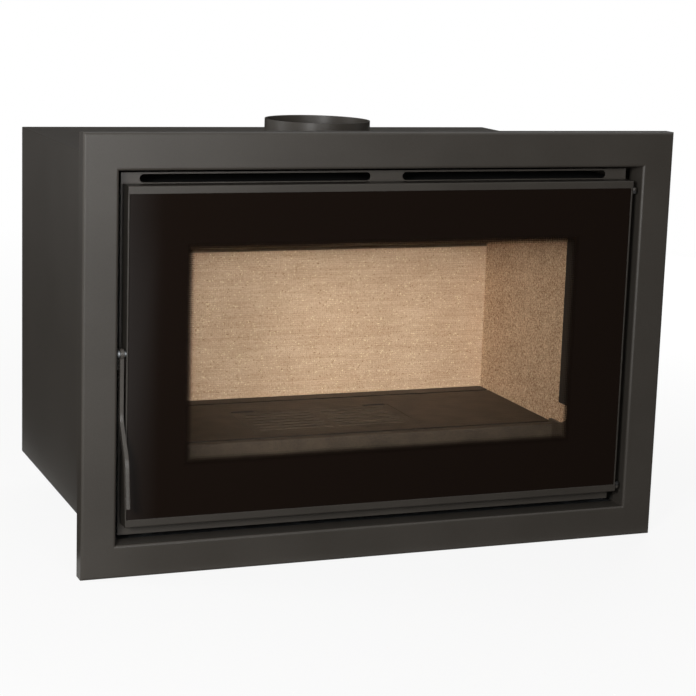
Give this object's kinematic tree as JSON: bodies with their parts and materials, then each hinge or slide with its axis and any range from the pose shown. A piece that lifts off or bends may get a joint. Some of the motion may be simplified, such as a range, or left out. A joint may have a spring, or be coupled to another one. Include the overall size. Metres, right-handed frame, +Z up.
{
  "type": "fireplace insert",
  "caption": "Wood-burning fireplace insert with a folded steel trim frame, a hinged black-bordered glass door, a hanging lever handle, a vermiculite-lined firebox and a round flue collar",
  "frame": {"origin": "on the flue's axis, on the underside of the casing, where the insert stands on its plinth", "axes": "+Z up along the flue, +Y into the wall, so the door faces -Y, +X to the right seen from the room"},
  "size_m": [0.82, 0.567, 0.567],
  "materials": {
    "painted_steel": "matt warm dark grey high-temperature paint",
    "bare_steel": "plain galvanised or bright steel",
    "cast_iron": "sand-cast iron, blackened",
    "vermiculite": "pressed tan vermiculite board with brushed lines",
    "ceramic_glass": "clear glass ceramic with a printed black border",
    "glass_rope": "knitted glass-fibre rope and tape"
  },
  "bodies": {
    "root": {"trim_frame": "painted_steel", "casing_left": "painted_steel", "casing_right": "painted_steel", "casing_top": "painted_steel", "casing_back": "painted_steel", "front_plate": "painted_steel", "flue_collar": "painted_steel", "hinge_brackets": "painted_steel", "latch_keeper": "painted_steel", "liner_bracket_left": "painted_steel", "liner_bracket_right": "painted_steel", "firebox_left": "painted_steel", "firebox_right": "painted_steel", "firebox_back": "painted_steel", "firebox_top": "painted_steel", "firebox_floor": "painted_steel", "air_wash_channel": "painted_steel", "frame_brackets": "bare_steel", "casing_base": "bare_steel", "base_rails": "bare_steel", "air_box": "bare_steel", "air_slide_guides": "bare_steel", "hinge_pins": "bare_steel", "hearth_plate": "cast_iron", "hearth_back_strip": "cast_iron", "hearth_bar": "cast_iron", "liner_left": "vermiculite", "liner_right": "vermiculite", "liner_back": "vermiculite", "baffle": "vermiculite"},
    "door": {"door_frame": "painted_steel", "door_glass": "ceramic_glass", "glass_tape": "glass_rope", "door_top_trim": "painted_steel", "door_bottom_trim": "painted_steel", "rope_seal": "glass_rope", "hinge_lugs": "painted_steel", "pivot_stud": "bare_steel", "pivot_nut": "bare_steel"},
    "handle": {"handle_lever": "painted_steel"},
    "ash_pan": {"ash_pan": "bare_steel"},
    "grate": {"grate": "cast_iron"},
    "air_slide": {"air_slide": "bare_steel"}
  },
  "joints": [
    {"name": "door_hinge", "type": "hinge", "parent": "root", "child": "door", "pos_m": [0.3565, -0.285, 0.246], "axis": [0, 0, 1], "range_deg": [0, 100]},
    {"name": "handle_pivot", "type": "hinge", "parent": "door", "child": "handle", "pos_m": [-0.358, -0.2855, 0.253], "axis": [-1, 0, 0], "range_deg": [0, 35]},
    {"name": "ash_pan_lift", "type": "slide", "parent": "root", "child": "ash_pan", "axis": [0, 0, 1], "range_m": [0, 0.06]},
    {"name": "grate_lift", "type": "slide", "parent": "ash_pan", "child": "grate", "axis": [0, 0, 1], "range_m": [0, 0.04]},
    {"name": "air_control", "type": "slide", "parent": "root", "child": "air_slide", "axis": [1, 0, 0], "range_m": [0, 0.03]}
  ]
}
